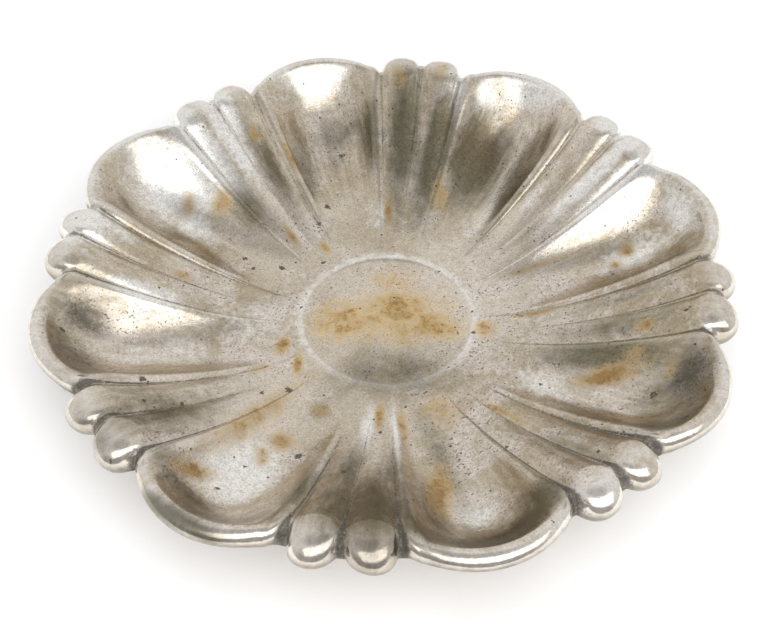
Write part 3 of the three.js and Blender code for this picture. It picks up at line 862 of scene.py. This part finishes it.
SOLDER_LEG = 0.8
SOLDER_GREY = (0.42, 0.405, 0.375, 1)
SOLDER_DARK = (0.17, 0.16, 0.145, 1)
LUMP_SCALE = 160
SOLDER_RELIEF = 0.0002
soft_solder, shader, place = new_finish("dull_soft_solder")
clouds = noise(place, LUMP_SCALE, 4, 0.6, 0.5)
tint = clouds.step(0.35, 0.7).colour(SOLDER_GREY, SOLDER_DARK)
plug(shader, "Base Color", tint)
plug(shader, "Roughness", 0.42 + 0.25 * clouds)
shader.inputs["Metallic"].default_value = 0.9
plug(shader, "Normal", clouds.bump(0.5, SOLDER_RELIEF))

FILLET_POINTS = 6
hollow = np.radians(np.linspace(0, 90, FILLET_POINTS))
fillet_out = SOLDER_LEG * (1 - np.cos(hollow[::-1]))
fillet_down = SOLDER_LEG * (1 - np.cos(hollow))
fillet = list(zip(fillet_out, fillet_down))
outer_fillet = [(FLANGE_OUTER, FOOT_HEIGHT)]
outer_fillet += [(FLANGE_OUTER + out, FOOT_HEIGHT - down) for out, down in fillet[::-1]]
inner_fillet = [(FLANGE_INNER, FOOT_HEIGHT)]
inner_fillet += [(FLANGE_INNER - out, FOOT_HEIGHT - down) for out, down in fillet]
for name, section, node in (
    ("outer_solder", outer_fillet, "outer_solder_seam"),
    ("inner_solder", inner_fillet, "inner_solder_seam"),
):
    seam = turned(name, section)
    seam.data.materials.append(soft_solder)
    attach(seam, "root")
    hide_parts(node)

# The plate stands on a white table top in a grey room, darker overhead and low in front. A large
# soft panel above and behind the camera, brighter to its middle, lights it and is mirrored in the
# metal. A smaller lamp overhead, which the metal doesn't mirror, brightens the table.

CAMERA_TURN = math.radians(-105.881)
towards = Vector((math.cos(CAMERA_TURN), math.sin(CAMERA_TURN), 0))
rightwards = Vector((-towards.y, towards.x, 0))

TABLE_FRONT = 240.0
TABLE_BACK = -2500.0
TABLE_SIDE = 2500.0
TABLE_WHITE = (0.94, 0.94, 0.945, 1)
TABLE_GLOW, FAR_GLOW = 0.1, 0.4
GLOW_START, GLOW_END = 0.3, 0.9
table_corners = [
    (TABLE_FRONT, -TABLE_SIDE),
    (TABLE_FRONT, TABLE_SIDE),
    (TABLE_BACK, TABLE_SIDE),
    (TABLE_BACK, -TABLE_SIDE),
]
floor_points = np.array([towards * near + rightwards * aside for near, aside in table_corners])
table = new_piece("table_top", floor_points, [[0, 1, 2, 3]])
white, shader, place = new_finish("white_table")
shader.inputs["Base Color"].default_value = TABLE_WHITE
shader.inputs["Roughness"].default_value = 0.9
shader.inputs["Specular IOR Level"].default_value = 0.0
seen = place.node("ShaderNodeLightPath", out="Is Camera Ray")
mirrored_ray = place.node("ShaderNodeLightPath", out="Is Glossy Ray")
through_ray = place.node("ShaderNodeLightPath", out="Is Transmission Ray")
shown = seen + mirrored_ray + through_ray
glow = shown.math("MINIMUM", shown, 1.0)
distance = place.node("ShaderNodeVectorMath", {"operation": "LENGTH"}, {0: place}, out="Value")
level = glow * (TABLE_GLOW + FAR_GLOW * distance.step(GLOW_START, GLOW_END))
plug(shader, "Emission Color", level.grey())
shader.inputs["Emission Strength"].default_value = 1.0
table.data.materials.append(white)

PANEL_TURN = math.radians(20)
PANEL_RISE = math.radians(44)
PANEL_AWAY = 0.95
PANEL_LEVELS = {1.0: 1.0, 0.85: 0.9, 0.7: 0.9, 0.55: 0.9, 0.4: 1.8}  # level of each share of its size
PANEL_SIZE = (1.7, 0.72)
flat = towards * math.cos(PANEL_TURN) + rightwards * math.sin(PANEL_TURN)
panel_place = (flat * math.cos(PANEL_RISE) + Vector((0, 0, math.sin(PANEL_RISE)))) * PANEL_AWAY


def area_lamp(name, place, size, level):
    """A rectangular lamp that looks at the plate, its level being the brightness of its face."""
    lamp = bpy.data.lights.new(name, "AREA")
    lamp.shape = "RECTANGLE"
    lamp.size, lamp.size_y = size
    lamp.energy = level * math.pi * size[0] * size[1]
    piece = bpy.data.objects.new(name, lamp)
    bpy.context.scene.collection.objects.link(piece)
    piece.location = place
    piece.rotation_euler = (-place).to_track_quat("-Z", "Y").to_euler()
    return piece


for share, level in PANEL_LEVELS.items():
    area_lamp("soft_panel", panel_place, (PANEL_SIZE[0] * share, PANEL_SIZE[1] * share), level)

OVERHEAD_RISE = math.radians(74)
OVERHEAD_AWAY = 1.0
OVERHEAD_SIZE = 0.6
OVERHEAD_LEVEL = 1.6
overhead_way = towards * math.cos(OVERHEAD_RISE) + Vector((0, 0, math.sin(OVERHEAD_RISE)))
overhead_place = overhead_way * OVERHEAD_AWAY
overhead = area_lamp("overhead_lamp", overhead_place, (OVERHEAD_SIZE, OVERHEAD_SIZE), OVERHEAD_LEVEL)
overhead.visible_glossy = False

ROOM_LEVEL = 0.76
ZENITH_LOSS = 0.25
BACK_WALL_GAIN = 0.06
FRONT_LOSS = 0.36
WHITE = (1, 1, 1, 1)
room = bpy.data.worlds.new("grey_room")
bpy.context.scene.world = room
room.use_nodes = True
sky = Shade(room.node_tree)
way = sky.node("ShaderNodeTexCoord", out="Generated")


def along(axis):
    """How far the direction of the light leans to an axis, from -1 to 1."""
    return way.node("ShaderNodeVectorMath", {"operation": "DOT_PRODUCT"}, {0: way, 1: axis}, out="Value")


upward = along(Vector((0, 0, 1)))
back_wall = along(-towards).step(0.0, 0.62) * upward.step(0.99, 0.8) * upward.step(-0.4, 0.6)
in_front = along(towards).step(0.2, 0.75) * upward.step(0.6, 0.2)
zenith = upward.step(0.86, 0.985)
room_level = ROOM_LEVEL - ZENITH_LOSS * zenith + BACK_WALL_GAIN * back_wall - FRONT_LOSS * in_front
seen = way.node("ShaderNodeLightPath", out="Is Camera Ray")
background = room.node_tree.nodes["Background"]
plug(background, "Color", seen.colour(room_level.grey(), WHITE))

# The camera stands where the photograph's did: in front of the plate, looking down at it. Its
# place, lens, shift and roll come from a fit of the plate's outline.

CAMERA_RISE = math.radians(47.693)
CAMERA_AWAY = 0.5274
FOCAL_PIXELS = 1283.8
IMAGE_WIDTH, IMAGE_HEIGHT = 765, 620
AIM = (387.5, 318.1)
ROLL = math.radians(-0.389)
land_middle = Vector((0, 0, LAND_TOP * MILLIMETRE))
back = towards * math.cos(CAMERA_RISE) + Vector((0, 0, math.sin(CAMERA_RISE)))
level_up = back.cross(rightwards)
right = rightwards * math.cos(ROLL) - level_up * math.sin(ROLL)
up = rightwards * math.sin(ROLL) + level_up * math.cos(ROLL)
lens = bpy.data.cameras.new("camera")
lens.sensor_width = 36.0
lens.lens = FOCAL_PIXELS * lens.sensor_width / IMAGE_WIDTH
lens.shift_x = -(AIM[0] - IMAGE_WIDTH / 2) / IMAGE_WIDTH
lens.shift_y = (AIM[1] - IMAGE_HEIGHT / 2) / IMAGE_WIDTH
lens.clip_start = 0.01
camera = bpy.data.objects.new("camera", lens)
bpy.context.scene.collection.objects.link(camera)
stand = Matrix((right, up, back)).transposed().to_4x4()
stand.translation = land_middle + back * CAMERA_AWAY
camera.matrix_world = stand
bpy.context.scene.camera = camera
bpy.context.scene.view_settings.view_transform = "Standard"

bpy.context.view_layer.update()
